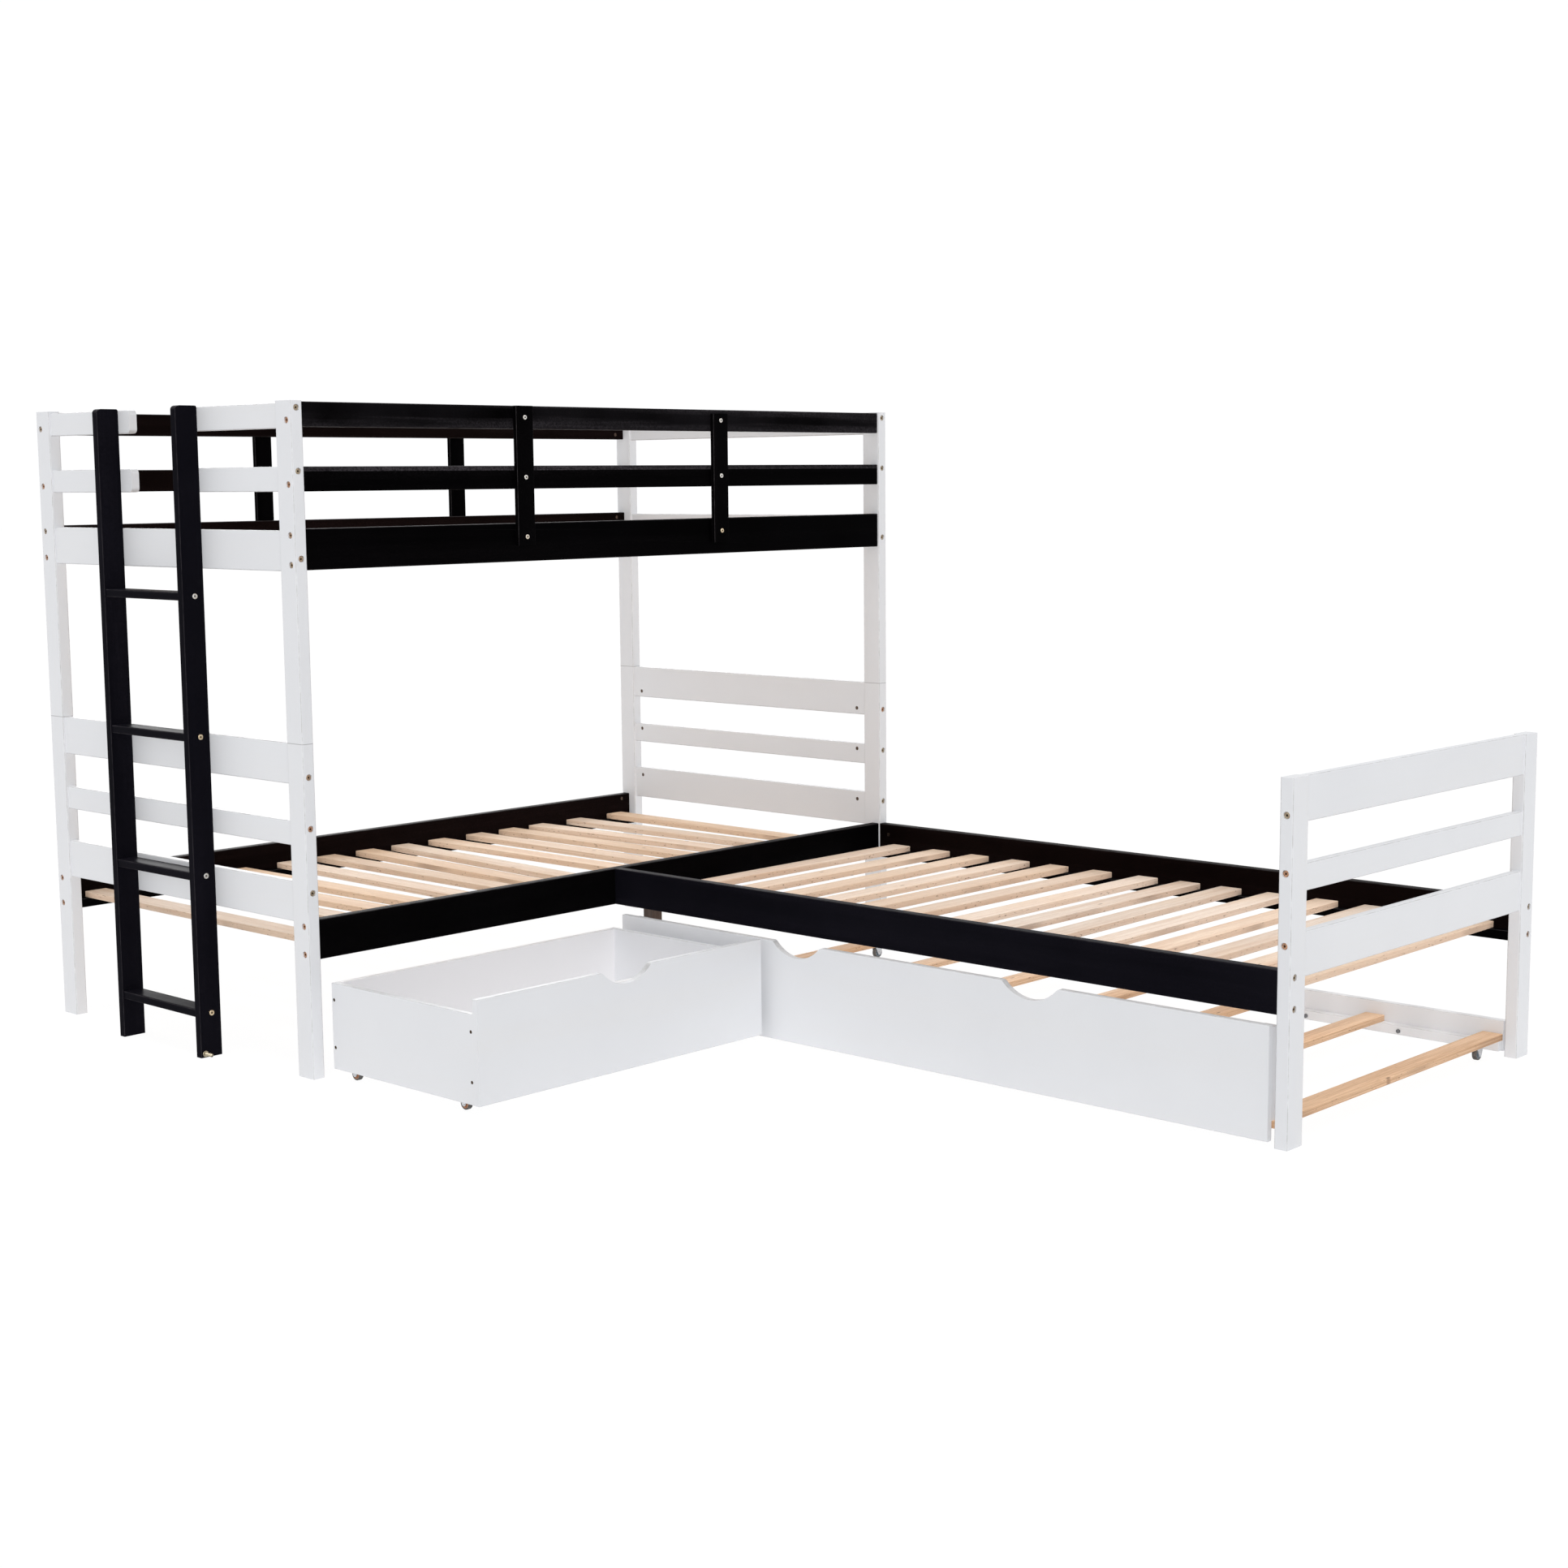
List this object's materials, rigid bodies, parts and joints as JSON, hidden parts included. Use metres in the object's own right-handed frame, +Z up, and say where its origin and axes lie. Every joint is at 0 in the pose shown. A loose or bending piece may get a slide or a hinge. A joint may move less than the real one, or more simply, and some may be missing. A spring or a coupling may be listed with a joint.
{
  "type": "bunk bed",
  "caption": "L-shaped bunk bed with a third bed at right angles under its open side, an end ladder, guard rails, a rolling drawer and a rolling trundle.",
  "frame": {"origin": "on the floor in the middle of the footprint's bounding box", "axes": "+X along the bunk from the ladder end, +Y towards the bunk's back, +Z up; the third bed runs towards -Y"},
  "size_m": [2.016, 2.969, 1.492],
  "materials": {
    "white": "satin white lacquer",
    "black": "satin black lacquer",
    "pine": "planed, unfinished",
    "dark_wood": "dark stained",
    "bronze": "bronzed",
    "zinc": "zinc plated",
    "brass": "satin",
    "tread": "matt"
  },
  "bodies": {
    "bed_frame": {"lower_post_front_left": "white", "lower_post_back_left": "white", "lower_post_front_right": "white", "lower_post_back_right": "white", "upper_post_front_left": "white", "upper_post_back_left": "white", "upper_post_front_right": "white", "upper_post_back_right": "white", "post_dowels": "zinc", "lower_left_wide_rails": "white", "lower_left_mid_rail": "white", "lower_right_wide_rails": "white", "lower_right_mid_rail": "white", "entry_stub_rails": "white", "upper_left_end_rail": "white", "upper_right_guard_rails": "white", "upper_right_end_rail": "white", "footboard_posts": "white", "footboard_wide_rails": "white", "footboard_mid_rail": "white", "front_guard_rails": "black", "front_guard_battens": "black", "back_guard_rails": "black", "back_guard_battens": "black", "upper_front_bed_rail": "black", "upper_back_bed_rail": "black", "lower_front_bed_rail": "black", "lower_back_bed_rail": "black", "extension_near_rail": "black", "extension_far_rail": "black", "bed_ledgers": "black", "upper_slats": "pine", "lower_slats": "pine", "extension_slats": "pine", "support_leg": "dark_wood", "ladder_stiles": "black", "ladder_rungs": "black", "ladder_foot_pin": "brass", "frame_bolts": "bronze", "barrel_nuts": "zinc", "surface_bolts": "zinc"},
    "drawer": {"drawer_front": "white", "drawer_sides": "white", "drawer_end_boards": "white", "drawer_bottom": "white", "drawer_screws": "bronze", "drawer_casters": "zinc"},
    "drawer_front_axle": {"drawer_wheels_front": "tread"},
    "drawer_back_axle": {"drawer_wheels_back": "tread"},
    "trundle": {"trundle_panel": "white", "trundle_cleats": "white", "trundle_rear_rail": "white", "trundle_ledgers": "white", "trundle_slats": "pine", "trundle_bolts": "zinc", "trundle_casters": "zinc"},
    "trundle_front_axle": {"trundle_wheels_front": "tread"},
    "trundle_rear_axle": {"trundle_wheels_rear": "tread"}
  },
  "joints": [
    {"name": "drawer_roll", "type": "slide", "parent": "bed_frame", "child": "drawer", "axis": [0, 1, 0], "range_m": [0, 0.527]},
    {"name": "trundle_roll", "type": "slide", "parent": "bed_frame", "child": "trundle", "axis": [1, 0, 0], "range_m": [0, 0.95]},
    {"name": "drawer_front_wheels_turn", "type": "hinge", "parent": "drawer", "child": "drawer_front_axle", "pos_m": [-0.488, -0.0205, 0.0145], "axis": [1, 0, 0], "continuous": true},
    {"name": "drawer_back_wheels_turn", "type": "hinge", "parent": "drawer", "child": "drawer_back_axle", "pos_m": [-0.488, 0.3555, 0.0145], "axis": [1, 0, 0], "continuous": true},
    {"name": "trundle_front_wheels_turn", "type": "hinge", "parent": "trundle", "child": "trundle_front_axle", "pos_m": [0.061, -0.5205, 0.0145], "axis": [0, 1, 0], "continuous": true},
    {"name": "trundle_rear_wheels_turn", "type": "hinge", "parent": "trundle", "child": "trundle_rear_axle", "pos_m": [0.885, -0.5205, 0.0145], "axis": [0, 1, 0], "continuous": true}
  ],
  "couplings": [
    {"joint": "drawer_front_wheels_turn", "follows": "drawer_roll", "rad_per_m": -68.966},
    {"joint": "drawer_back_wheels_turn", "follows": "drawer_roll", "rad_per_m": -68.966},
    {"joint": "trundle_front_wheels_turn", "follows": "trundle_roll", "rad_per_m": 68.966},
    {"joint": "trundle_rear_wheels_turn", "follows": "trundle_roll", "rad_per_m": 68.966}
  ]
}
